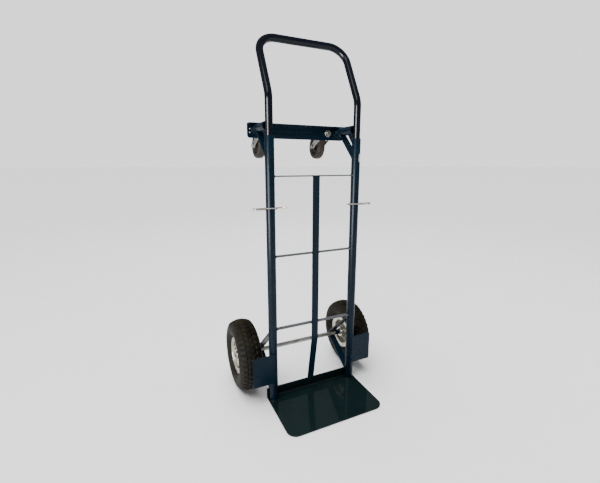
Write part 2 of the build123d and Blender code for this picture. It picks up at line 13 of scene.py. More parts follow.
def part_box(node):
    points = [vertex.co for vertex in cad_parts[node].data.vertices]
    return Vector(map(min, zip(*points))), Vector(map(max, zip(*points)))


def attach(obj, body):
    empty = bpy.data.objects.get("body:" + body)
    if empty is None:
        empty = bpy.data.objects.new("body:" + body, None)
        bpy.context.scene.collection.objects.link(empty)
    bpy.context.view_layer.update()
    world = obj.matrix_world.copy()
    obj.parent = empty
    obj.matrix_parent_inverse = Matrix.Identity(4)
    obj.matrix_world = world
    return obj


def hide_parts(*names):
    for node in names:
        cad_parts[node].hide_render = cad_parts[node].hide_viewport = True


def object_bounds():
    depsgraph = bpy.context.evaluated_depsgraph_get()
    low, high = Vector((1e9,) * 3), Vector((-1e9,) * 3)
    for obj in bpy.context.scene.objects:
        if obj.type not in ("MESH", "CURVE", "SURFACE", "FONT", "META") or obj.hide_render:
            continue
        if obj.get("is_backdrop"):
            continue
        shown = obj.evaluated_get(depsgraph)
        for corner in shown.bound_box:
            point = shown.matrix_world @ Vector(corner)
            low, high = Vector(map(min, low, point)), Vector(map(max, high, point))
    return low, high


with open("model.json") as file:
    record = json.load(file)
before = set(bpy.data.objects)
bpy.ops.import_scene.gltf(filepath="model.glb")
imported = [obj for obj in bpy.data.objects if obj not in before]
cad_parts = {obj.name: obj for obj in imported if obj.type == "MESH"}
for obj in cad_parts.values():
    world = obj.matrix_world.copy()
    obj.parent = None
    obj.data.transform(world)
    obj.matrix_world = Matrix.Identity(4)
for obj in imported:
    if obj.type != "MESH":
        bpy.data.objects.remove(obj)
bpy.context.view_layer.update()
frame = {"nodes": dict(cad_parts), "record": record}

log = logging.getLogger("hand_truck")
MM = 0.001
Point = tuple[float, float, float]
Pair = tuple[float, float]
Color = tuple[float, float, float, float]


class Side(Enum):
    """The two sides of the truck."""

    LEFT = -1
    RIGHT = 1

    @property
    def label(self) -> str:
        """The word that ends this side's node and body names."""
        return self.name.lower()


# ---- meshes ----

def link_mesh(name: str, points: Sequence[Sequence[float]], faces: Sequence[Sequence[int]],
              smooth: bool = True) -> bpy.types.Object:
    """Make an object from points and faces and put it in the scene.

    Args:
        name: Name of the piece.
        points: Vertex places in metres.
        faces: Vertex numbers of each face, outward.
        smooth: Whether the faces are shaded smooth.

    Returns:
        The new object.
    """
    mesh = bpy.data.meshes.new(name)
    mesh.from_pydata([tuple(p) for p in points], [], [tuple(f) for f in faces])
    mesh.validate()
    mesh.polygons.foreach_set("use_smooth", [smooth] * len(mesh.polygons))
    mesh.update()
    piece = bpy.data.objects.new(name, mesh)
    bpy.context.scene.collection.objects.link(piece)
    return piece


def arc_through(start: Pair, middle: Pair, end: Pair, steps: int) -> list[Pair]:
    """Points of the circular arc through three points, without its last point.

    Args:
        start: First point.
        middle: A point on the way.
        end: Last point.
        steps: Number of points.

    Returns:
        The points from start towards end.
    """
    (ax, ay), (bx, by), (cx, cy) = start, middle, end
    d = 2 * (ax * (by - cy) + bx * (cy - ay) + cx * (ay - by))
    a2, b2, c2 = ax * ax + ay * ay, bx * bx + by * by, cx * cx + cy * cy
    ux = (a2 * (by - cy) + b2 * (cy - ay) + c2 * (ay - by)) / d
    uy = (a2 * (cx - bx) + b2 * (ax - cx) + c2 * (bx - ax)) / d
    radius = math.hypot(ax - ux, ay - uy)
    first = math.atan2(ay - uy, ax - ux)
    turn = (math.atan2(cy - uy, cx - ux) - first) % (2 * math.pi)
    passed = (math.atan2(by - uy, bx - ux) - first) % (2 * math.pi)
    if passed > turn:
        turn -= 2 * math.pi
    return [(ux + radius * math.cos(first + turn * i / steps),
             uy + radius * math.sin(first + turn * i / steps)) for i in range(steps)]


def lathe(name: str, profile: Sequence[Pair], centre: Vector, segments: int, side: int = 1,
          relief: Callable[[int, float], float] | None = None) -> bpy.types.Object:
    """Turn a closed profile about an axis along X.

    Args:
        name: Name of the piece.
        profile: Closed outline as (along the axis, radius) in metres.
        centre: Point on the axis.
        segments: Number of steps round the axis.
        side: 1 keeps the profile's direction, -1 mirrors it along the axis.
        relief: Height added to a profile point at an angle, given its number and the angle.

    Returns:
        The turned piece.
    """
    count = len(profile)
    area = sum(a[0] * b[1] - b[0] * a[1] for a, b in zip(profile, [*profile[1:], profile[0]]))
    normals = [outward(profile, i, area) for i in range(count)]
    points = []
    for step in range(segments):
        angle = 2 * math.pi * step / segments
        for number, ((along, radius), (na, nr)) in enumerate(zip(profile, normals)):
            height = relief(number, angle) if relief else 0.0
            r = radius + nr * height
            points.append((centre.x + side * (along + na * height),
                           centre.y + r * math.cos(angle), centre.z + r * math.sin(angle)))
    faces = []
    flip = (area > 0) == (side > 0)
    for step in range(segments):
        base, following = step * count, ((step + 1) % segments) * count
        for i in range(count):
            j = (i + 1) % count
            face = (base + i, base + j, following + j, following + i)
            faces.append(face if flip else face[::-1])
    return link_mesh(name, points, faces)


def outward(profile: Sequence[Pair], i: int, area: float) -> Pair:
    """Unit normal of a closed outline at one of its points.

    Args:
        profile: The outline.
        i: Number of the point.
        area: The outline's signed double area.

    Returns:
        The normal that points out of the outline.
    """
    before, after = profile[i - 1], profile[(i + 1) % len(profile)]
    da, dr = after[0] - before[0], after[1] - before[1]
    size = math.hypot(da, dr) or 1.0
    sign = 1.0 if area > 0 else -1.0
    return sign * dr / size, -sign * da / size


def smooth_path(points: Sequence[Point], steps: int) -> list[Vector]:
    """Points of a smooth curve through given points.

    Args:
        points: Points that the curve passes.
        steps: Number of new points in each stretch.

    Returns:
        The curve's points.
    """
    p = [Vector(q) for q in points]
    p = [2 * p[0] - p[1], *p, 2 * p[-1] - p[-2]]
    out = []
    for a, b, c, d in zip(p, p[1:], p[2:], p[3:]):
        for i in range(steps):
            t = i / steps
            out.append(0.5 * (2 * b + (c - a) * t + (2 * a - 5 * b + 4 * c - d) * t * t
                              + (3 * b - a - 3 * c + d) * t ** 3))
    return [*out, p[-2]]


def wire(name: str, path: Sequence[Vector], radius: float, sides: int) -> bpy.types.Object:
    """Round bar of one thickness along a path, with domed ends.

    Args:
        name: Name of the piece.
        path: Points of its middle line.
        radius: Its radius.
        sides: Number of flats round it.

    Returns:
        The bar.
    """
    points, faces = bar_mesh(path, lambda number: radius, sides)
    return link_mesh(name, points, faces)


def bar_mesh(path: Sequence[Vector], radius: Callable[[int], float],
             sides: int) -> tuple[list[Vector], list[tuple[int, ...]]]:
    """Points and faces of a round bar along a path.

    Args:
        path: Points of its middle line.
        radius: Radius at a point's number.
        sides: Number of flats round it.

    Returns:
        The points and the faces.
    """
    end = len(path) - 1
    tangents = [(path[min(i + 1, end)] - path[max(i - 1, 0)]).normalized() for i in range(end + 1)]
    across = tangents[0].orthogonal().normalized()
    rings = []
    for i, (point, tangent) in enumerate(zip(path, tangents)):
        across = (across - tangent * across.dot(tangent)).normalized()
        rings.append((point, tangent, across, radius(i)))
    dome_length = 0.6
    dome = ((1.0, 0.35), (0.6, 0.8))
    start_dome, end_dome = ([(r[0] + r[1] * way * r[3] * dome_length * share, r[1], r[2], r[3] * width)
                             for share, width in dome] for r, way in ((rings[0], -1), (rings[-1], 1)))
    rings = [*start_dome, *rings, *reversed(end_dome)]
    points = []
    for point, tangent, u, r in rings:
        v = tangent.cross(u)
        for k in range(sides):
            angle = 2 * math.pi * k / sides
            points.append(point + (u * math.cos(angle) + v * math.sin(angle)) * r)
    faces: list[tuple[int, ...]] = []
    for i in range(len(rings) - 1):
        for k in range(sides):
            j = (k + 1) % sides
            faces.append((i * sides + k, i * sides + j, (i + 1) * sides + j, (i + 1) * sides + k))
    faces.append(tuple(reversed(range(sides))))
    faces.append(tuple(range((len(rings) - 1) * sides, len(rings) * sides)))
    return points, faces


# ---- shader graphs ----

class Graph:
    """Short hand for adding and joining the nodes of one shader tree."""

    def __init__(self, tree: bpy.types.NodeTree) -> None:
        """Keep the tree.

        Args:
            tree: Node tree of a material or group.
        """
        self.tree = tree

    def add(self, kind: str, inputs: dict[str | int, object] | None = None,
            **settings: object) -> bpy.types.Node:
        """Add a node.

        Args:
            kind: Blender's type of node, without its leading ShaderNode.
            inputs: Value, or socket to join, for each input.
            settings: Attributes of the node.

        Returns:
            The new node.
        """
        prefix = "" if kind.startswith("NodeGroup") else "ShaderNode"
        node = self.tree.nodes.new(prefix + kind)
        for name, value in settings.items():
            setattr(node, name, value)
        for name, value in (inputs or {}).items():
            if isinstance(value, bpy.types.NodeSocket):
                self.tree.links.new(value, node.inputs[name])
            else:
                node.inputs[name].default_value = value
        return node

    def group(self, tree: bpy.types.NodeTree, inputs: dict[str, object]) -> bpy.types.Node:
        """Add a group node.

        Args:
            tree: The group.
            inputs: Values of its inputs.

        Returns:
            The group node.
        """
        return self.add("Group", inputs, node_tree=tree)

    def math(self, operation: str, a: object, b: object = 0.0,
             clamp: bool = False) -> bpy.types.NodeSocket:
        """Result of a Math node.

        Args:
            operation: Blender's name for the sum.
            a: First value or socket.
            b: Second value or socket.
            clamp: Whether the result stays from 0 to 1.

        Returns:
            The output socket.
        """
        return self.add("Math", {0: a, 1: b}, operation=operation, use_clamp=clamp).outputs[0]

    def mix(self, share: object, a: object, b: object) -> bpy.types.NodeSocket:
        """Colour between two colours.

        Args:
            share: How much of the second.
            a: First colour or socket.
            b: Second colour or socket.

        Returns:
            The output socket.
        """
        return self.add("Mix", {0: share, 6: a, 7: b}, data_type="RGBA").outputs[2]

    def ramp(self, value: object, low: float, high: float) -> bpy.types.NodeSocket:
        """Value stretched so that low becomes 0 and high becomes 1.

        Args:
            value: Socket to stretch.
            low: Value that becomes 0.
            high: Value that becomes 1.

        Returns:
            The output socket.
        """
        stretched = self.add("MapRange", {0: value, 1: low, 2: high}, interpolation_type="SMOOTHSTEP")
        return stretched.outputs[0]


def new_group(name: str, inputs: dict[str, float | Color],
              outputs: dict[str, str]) -> tuple[Graph, dict[str, bpy.types.NodeSocket], bpy.types.Node]:
    """Start a shader group with named inputs and outputs.

    Args:
        name: Name of the group.
        inputs: First value of each input: a number, or four numbers for a colour.
        outputs: "Float" or "Color" for each output.

    Returns:
        The graph, the sockets inside the group, and its output node.
    """
    tree = bpy.data.node_groups.new(name, "ShaderNodeTree")
    for label, value in inputs.items():
        kind = "NodeSocketFloat" if isinstance(value, (int, float)) else "NodeSocketColor"
        tree.interface.new_socket(label, in_out="INPUT", socket_type=kind).default_value = value
    for label, kind in outputs.items():
        tree.interface.new_socket(label, in_out="OUTPUT", socket_type=f"NodeSocket{kind}")
    graph = Graph(tree)
    given = graph.add("NodeGroupInput")
    result = graph.add("NodeGroupOutput")
    return graph, {s.name: s for s in given.outputs if s.name}, result


class Effects:
    """Shader groups that several finishes share, each built once."""

    def __init__(self) -> None:
        """Build the groups."""
        self.mottle = self._mottle()
        self.relief = self._relief()
        self.edge_wear = self._edge_wear()
        self.dust = self._dust()
        self.scratches = self._scratches()
        self.spangle = self._spangle()

    @staticmethod
    def _place(graph: Graph) -> bpy.types.NodeSocket:
        """Place on the piece, in metres."""
        return graph.add("TexCoord").outputs["Object"]

    def _mottle(self) -> bpy.types.NodeTree:
        """Two tones that drift into each other.

        Returns:
            The node group.
        """
        graph, given, result = new_group(
            "tone_drift", {"Tone": (0.1, 0.1, 0.1, 1), "Other Tone": (0.2, 0.2, 0.2, 1), "Scale": 20.0,
                           "Contrast": 0.5}, {"Color": "Color", "Mask": "Float"})
        cloud = graph.add("TexNoise", {"Vector": self._place(graph), "Scale": given["Scale"],
                                       "Detail": 6.0, "Roughness": 0.6})
        low = graph.math("MULTIPLY", given["Contrast"], 0.3)
        share = graph.add("MapRange", {0: cloud.outputs["Fac"], 1: graph.math("ADD", low, 0.2),
                                       2: graph.math("SUBTRACT", 0.8, low)}).outputs[0]
        self._out(graph, result, "Color", graph.mix(share, given["Tone"], given["Other Tone"]))
        self._out(graph, result, "Mask", share)
        return graph.tree

    def _relief(self) -> bpy.types.NodeTree:
        """Fine uneven surface, from two sizes of noise.

        Returns:
            The node group.
        """
        graph, given, result = new_group("fine_relief", {"Scale": 400.0, "Coarse Share": 0.3},
                                         {"Height": "Float"})
        place = self._place(graph)
        fine = graph.add("TexNoise", {"Vector": place, "Scale": given["Scale"], "Detail": 3.0})
        wide_scale = graph.math("MULTIPLY", given["Scale"], 0.12)
        coarse = graph.add("TexNoise", {"Vector": place, "Scale": wide_scale, "Detail": 2.0})
        wide = graph.math("MULTIPLY", coarse.outputs["Fac"], given["Coarse Share"])
        rest = graph.math("SUBTRACT", 1.0, given["Coarse Share"])
        thin = graph.math("MULTIPLY", fine.outputs["Fac"], rest)
        self._out(graph, result, "Height", graph.math("ADD", wide, thin))
        return graph.tree

    def _edge_wear(self) -> bpy.types.NodeTree:
        """Mask of rubbed corners, broken up by noise.

        Returns:
            The node group.
        """
        graph, given, result = new_group("edge_wear", {"Amount": 0.5, "Scale": 120.0},
                                         {"Mask": "Float"})
        point = graph.add("NewGeometry").outputs["Pointiness"]
        corner = graph.ramp(point, 0.53, 0.62)
        cloud = graph.add("TexNoise", {"Vector": self._place(graph), "Scale": given["Scale"],
                                       "Detail": 5.0})
        broken = graph.ramp(cloud.outputs["Fac"], 0.48, 0.66)
        mask = graph.math("MULTIPLY", graph.math("MULTIPLY", corner, broken), given["Amount"],
                          clamp=True)
        self._out(graph, result, "Mask", mask)
        return graph.tree

    def _dust(self) -> bpy.types.NodeTree:
        """Mask of dust, thicker on faces that look up and in patches.

        Returns:
            The node group.
        """
        graph, given, result = new_group("settled_dust", {"Amount": 0.3, "Scale": 30.0},
                                         {"Mask": "Float"})
        coordinates = graph.add("TexCoord")
        up = graph.ramp(graph.add("SeparateXYZ", {0: coordinates.outputs["Normal"]}).outputs[2],
                        -0.2, 1.0)
        cloud = graph.add("TexNoise", {"Vector": coordinates.outputs["Object"], "Scale": given["Scale"],
                                       "Detail": 8.0, "Roughness": 0.7})
        patch = graph.ramp(cloud.outputs["Fac"], 0.35, 0.75)
        lying = graph.math("MULTIPLY", graph.math("ADD", graph.math("MULTIPLY", up, 0.7), 0.3), patch)
        self._out(graph, result, "Mask", graph.math("MULTIPLY", lying, given["Amount"], clamp=True))
        return graph.tree

    def _scratches(self) -> bpy.types.NodeTree:
        """Mask of thin marks that run about one way.

        Returns:
            The node group.
        """
        graph, given, result = new_group("thin_scratches", {"Amount": 0.4, "Scale": 30.0},
                                         {"Mask": "Float"})
        turned = graph.add("Mapping", {"Vector": self._place(graph), "Rotation": (0.3, 0.2, 0.6),
                                       "Scale": (1.0, 14.0, 14.0)})
        lines = graph.add("TexNoise", {"Vector": turned.outputs[0], "Scale": given["Scale"],
                                       "Detail": 4.0, "Roughness": 0.7})
        thin = graph.ramp(lines.outputs["Fac"], 0.66, 0.72)
        self._out(graph, result, "Mask", graph.math("MULTIPLY", thin, given["Amount"], clamp=True))
        return graph.tree

    def _spangle(self) -> bpy.types.NodeTree:
        """Mask of the crystal patches of zinc.

        Returns:
            The node group.
        """
        graph, given, result = new_group("zinc_spangle", {"Scale": 220.0, "Amount": 0.5},
                                         {"Mask": "Float"})
        cells = graph.add("TexVoronoi", {"Vector": self._place(graph), "Scale": given["Scale"]})
        grey = graph.add("RGBToBW", {0: cells.outputs["Color"]}).outputs[0]
        self._out(graph, result, "Mask", graph.math("MULTIPLY", grey, given["Amount"]))
        return graph.tree

    @staticmethod
    def _out(graph: Graph, result: bpy.types.Node, label: str, socket: bpy.types.NodeSocket) -> None:
        """Join a socket to a named output of the group."""
        graph.tree.links.new(socket, result.inputs[label])


# ---- finishes ----

SCRATCHED_PAINT: Color = (0.03, 0.045, 0.06, 1)
BARE_STEEL: Color = (0.14, 0.135, 0.13, 1)
GREY_DUST: Color = (0.05, 0.055, 0.055, 1)
BROWN_GRIME: Color = (0.1, 0.085, 0.065, 1)


def new_material(name: str) -> tuple[bpy.types.Material, Graph, bpy.types.Node]:
    """Start a material with one Principled shader.

    Args:
        name: Name of the material.

    Returns:
        The material, its graph and its shader.
    """
    material = bpy.data.materials.new(name)
    material.use_nodes = True
    material.node_tree.nodes.clear()
    graph = Graph(material.node_tree)
    shader = graph.add("BsdfPrincipled")
    graph.add("OutputMaterial", {"Surface": shader.outputs[0]})
    return material, graph, shader


def join(graph: Graph, shader: bpy.types.Node, **sockets: bpy.types.NodeSocket) -> None:
    """Join sockets to a shader's inputs.

    Args:
        graph: The material's graph.
        shader: Its shader.
        sockets: Socket for each input, whose name has _ for a space.
    """
    for name, socket in sockets.items():
        graph.tree.links.new(socket, shader.inputs[name.replace("_", " ")])


@dataclass(frozen=True)
class Enamel:
    """Gloss enamel over steel, with a slight orange peel, rubbed edges and dust."""

    name: str
    tone: Color
    deep_tone: Color
    roughness: float = 0.26
    specular: float = 0.1
    peel_height: float = 0.04 * MM
    wear: float = 0.3
    scratch: float = 0.15
    dust: float = 0.1

    def make(self, effects: Effects) -> bpy.types.Material:
        """Build the material.

        Args:
            effects: The shared shader groups.

        Returns:
            The material.
        """
        material, graph, shader = new_material(self.name)
        shader.inputs["Specular IOR Level"].default_value = self.specular
        paint = graph.group(effects.mottle, {"Tone": self.tone, "Other Tone": self.deep_tone,
                                             "Scale": 14.0, "Contrast": 0.4})
        worn = graph.group(effects.edge_wear, {"Amount": self.wear, "Scale": 160.0}).outputs[0]
        marks = graph.group(effects.scratches, {"Amount": self.scratch, "Scale": 26.0}).outputs[0]
        dusty = graph.group(effects.dust, {"Amount": self.dust, "Scale": 24.0}).outputs[0]
        color = graph.mix(graph.math("MULTIPLY", marks, 0.3), paint.outputs["Color"], SCRATCHED_PAINT)
        color = graph.mix(worn, color, BARE_STEEL)
        color = graph.mix(graph.math("MULTIPLY", dusty, 0.35), color, GREY_DUST)
        rough = graph.math("ADD", self.roughness, graph.math("MULTIPLY", paint.outputs["Mask"], 0.03))
        rough = graph.math("ADD", rough, graph.math("MULTIPLY", dusty, 0.35))
        rough = graph.math("ADD", rough, graph.math("MULTIPLY", worn, 0.3), clamp=True)
        peel = graph.group(effects.relief, {"Scale": 260.0, "Coarse Share": 0.6}).outputs[0]
        bump = graph.add("Bump", {"Height": peel, "Distance": self.peel_height, "Strength": 0.5})
        join(graph, shader, Base_Color=color, Roughness=rough,
             Metallic=graph.math("MULTIPLY", worn, 0.8), Normal=bump.outputs[0])
        return material


@dataclass(frozen=True)
class Zinc:
    """Zinc-coated or bare steel, with spangle, light scratches and grime."""

    name: str
    tone: Color
    dull_tone: Color
    roughness: float = 0.3
    spangle_scale: float = 260.0
    spangle: float = 0.5
    grime: float = 0.4

    def make(self, effects: Effects) -> bpy.types.Material:
        """Build the material.

        Args:
            effects: The shared shader groups.

        Returns:
            The material.
        """
        material, graph, shader = new_material(self.name)
        flakes = graph.group(effects.spangle, {"Scale": self.spangle_scale,
                                               "Amount": self.spangle}).outputs[0]
        cloud = graph.group(effects.mottle, {"Tone": self.tone, "Other Tone": self.dull_tone,
                                             "Scale": 45.0, "Contrast": 0.6})
        dirt = graph.group(effects.dust, {"Amount": self.grime, "Scale": 60.0}).outputs[0]
        marks = graph.group(effects.scratches, {"Amount": 0.5, "Scale": 60.0}).outputs[0]
        color = graph.mix(graph.math("MULTIPLY", flakes, 0.35), cloud.outputs["Color"], self.dull_tone)
        color = graph.mix(dirt, color, BROWN_GRIME)
        rough = graph.math("ADD", self.roughness, graph.math("MULTIPLY", flakes, 0.2))
        rough = graph.math("ADD", rough, graph.math("MULTIPLY", dirt, 0.4))
        rough = graph.math("ADD", rough, graph.math("MULTIPLY", marks, 0.12), clamp=True)
        metal = graph.math("SUBTRACT", 1.0, graph.math("MULTIPLY", dirt, 0.7), clamp=True)
        skin = graph.group(effects.relief, {"Scale": 500.0, "Coarse Share": 0.5}).outputs[0]
        bump = graph.add("Bump", {"Height": skin, "Distance": 0.1 * MM, "Strength": 0.35})
        join(graph, shader, Base_Color=color, Roughness=rough, Metallic=metal, Normal=bump.outputs[0])
        return material


@dataclass(frozen=True)
class Rubber:
    """Matte moulded rubber or plastic, with a grainy skin and dust in patches."""

    name: str
    tone: Color
    dusty_tone: Color
    roughness: float = 0.62
    specular: float = 0.1
    grain: float = 900.0
    dust: float = 0.5
    depth: float = 0.25 * MM

    def make(self, effects: Effects) -> bpy.types.Material:
        """Build the material.

        Args:
            effects: The shared shader groups.

        Returns:
            The material.
        """
        material, graph, shader = new_material(self.name)
        shader.inputs["Specular IOR Level"].default_value = self.specular
        cloud = graph.group(effects.mottle, {"Tone": self.tone, "Other Tone": self.dusty_tone,
                                             "Scale": 22.0, "Contrast": 0.7})
        rubbed = graph.group(effects.edge_wear, {"Amount": 0.6, "Scale": 90.0}).outputs[0]
        dusty = graph.group(effects.dust, {"Amount": self.dust, "Scale": 34.0}).outputs[0]
        color = graph.mix(graph.math("MULTIPLY", dusty, 0.6), cloud.outputs["Color"], self.dusty_tone)
        color = graph.mix(graph.math("MULTIPLY", rubbed, 0.5), color, self.dusty_tone)
        rough = graph.math("ADD", self.roughness, graph.math("MULTIPLY", dusty, 0.3), clamp=True)
        skin = graph.group(effects.relief, {"Scale": self.grain, "Coarse Share": 0.4}).outputs[0]
        bump = graph.add("Bump", {"Height": skin, "Distance": self.depth, "Strength": 0.6})
        join(graph, shader, Base_Color=color, Roughness=rough, Normal=bump.outputs[0])
        return material


class Finishes:
    """Every finish of the truck, by the record's slot."""

    def __init__(self, effects: Effects) -> None:
        """Build the materials.

        Args:
            effects: The shared shader groups.
        """
        kinds = {
            "frame_enamel": Enamel("frame_enamel", (0.0018, 0.0125, 0.025, 1),
                                   (0.0013, 0.0085, 0.017, 1)),
            "toe_enamel": Enamel("toe_enamel", (0.0042, 0.011, 0.0115, 1), (0.0035, 0.008, 0.0085, 1),
                                 roughness=0.05, specular=0.24, scratch=0.2, dust=0.05),
            "handle_enamel": Enamel("handle_enamel", (0.004, 0.006, 0.012, 1), (0.003, 0.004, 0.007, 1),
                                    roughness=0.12, specular=0.17, peel_height=0.004 * MM, wear=0.0,
                                    scratch=0.05, dust=0.03),
            "tyre_rubber": Rubber("tyre_rubber", (0.0045, 0.0036, 0.002, 1), (0.012, 0.0095, 0.005, 1),
                                  dust=0.3),
            "tube_rubber": Rubber("tube_rubber", (0.01, 0.01, 0.01, 1), (0.03, 0.03, 0.028, 1)),
            "caster_rubber": Rubber("caster_rubber", (0.034, 0.028, 0.021, 1), (0.055, 0.047, 0.037, 1),
                                    roughness=0.5, dust=0.3),
            "caster_core": Rubber("caster_core", (0.02, 0.018, 0.015, 1), (0.045, 0.04, 0.033, 1),
                                  roughness=0.42),
            "valve_rubber": Rubber("valve_rubber", (0.008, 0.008, 0.008, 1), (0.03, 0.028, 0.025, 1)),
            "rim_zinc": Zinc("rim_zinc", (0.55, 0.53, 0.46, 1), (0.34, 0.32, 0.27, 1), roughness=0.22),
            "bearing_steel": Zinc("bearing_steel", (0.7, 0.7, 0.7, 1), (0.5, 0.5, 0.5, 1),
                                  roughness=0.15, spangle=0.1, grime=0.2),
            "fork_zinc": Zinc("fork_zinc", (0.66, 0.65, 0.63, 1), (0.45, 0.44, 0.42, 1), roughness=0.25,
                              spangle=0.3),
            "hardware_zinc": Zinc("hardware_zinc", (0.5, 0.49, 0.46, 1), (0.3, 0.29, 0.27, 1),
                                  roughness=0.34, spangle=0.25),
        }
        self.by_slot = {slot: kind.make(effects) for slot, kind in kinds.items()}
        # Greyer copy of the frame enamel for the rungs: its light grey tone is a painted reflection of
        # bright surroundings on their glossy tops, laid over the frame's own dark navy.
        self.rung = Enamel("rung_painted_sheen_enamel", (0.075, 0.08, 0.085, 1), (0.045, 0.05, 0.055, 1),
                           specular=0.4, dust=0.3).make(effects)
        self.label = self._label()

    def wear(self, piece: bpy.types.Object, slot: str) -> None:
        """Give a piece the finish of a slot.

        Args:
            piece: Object to dress.
            slot: The record's slot.
        """
        piece.data.materials.clear()
        piece.data.materials.append(self.by_slot[slot])

    @staticmethod
    def _label() -> bpy.types.Material:
        """Blank paper label, a little creased and yellowed.

        Returns:
            The material.
        """
        material, graph, shader = new_material("paper_label")
        cloud = graph.add("TexNoise", {"Vector": graph.add("TexCoord").outputs["Object"],
                                       "Scale": 160.0, "Detail": 6.0})
        color = graph.mix(cloud.outputs["Fac"], (0.78, 0.76, 0.68, 1), (0.5, 0.5, 0.46, 1))
        bump = graph.add("Bump", {"Height": cloud.outputs["Fac"], "Distance": 0.2 * MM})
        join(graph, shader, Base_Color=color, Normal=bump.outputs[0])
        shader.inputs["Roughness"].default_value = 0.5
        return material


class Seen(Enum):
    """Where a studio light shows: as soft light on surfaces, in their gloss, or both."""

    GLOW = (True, False)
    SHINE = (False, True)
    BOTH = (True, True)

    def apply(self, light: bpy.types.Object) -> None:
        """Set which rays reach a light.

        Args:
            light: The light's object.
        """
        light.visible_diffuse, light.visible_glossy = self.value


# ---- CAD nodes ----

@dataclass
class Edges:
    """How the sharp edges of the CAD nodes are softened."""

    sheet: float = 0.7 * MM
    hardware: float = 0.4 * MM
    tube: float = 0.35 * MM
    least_angle: float = math.radians(34)

    def soften(self, node: bpy.types.Object, width: float) -> None:
        """Round a node's sharp edges with modifiers, so that its own mesh stays.

        Args:
            node: The CAD node's object.
            width: Width of the rounding.
        """
        mesh = node.data
        if "custom_normal" in mesh.attributes:
            mesh.attributes.remove(mesh.attributes["custom_normal"])
        mesh.polygons.foreach_set("use_smooth", [True] * len(mesh.polygons))
        weld = node.modifiers.new("join_faces", "WELD")
        weld.merge_threshold = 0.004 * MM
        bevel = node.modifiers.new("round_edges", "BEVEL")
        bevel.width = width
        bevel.segments = 2
        bevel.limit_method = "ANGLE"
        bevel.angle_limit = self.least_angle
        bevel.use_clamp_overlap = True
        if width != self.tube:
            flat = node.modifiers.new("flat_faces", "WEIGHTED_NORMAL")
            flat.keep_sharp = True
            flat.weight = 80

    def width_for(self, slot: str, name: str) -> float:
        """Width of the rounding for a node.

        Args:
            slot: The node's material slot.
            name: The node's name.

        Returns:
            The width.
        """
        if name.startswith(("rail", "socket", "handle")):
            return self.tube
        return self.sheet if slot.endswith("enamel") else self.hardware


# ---- welded frame ----

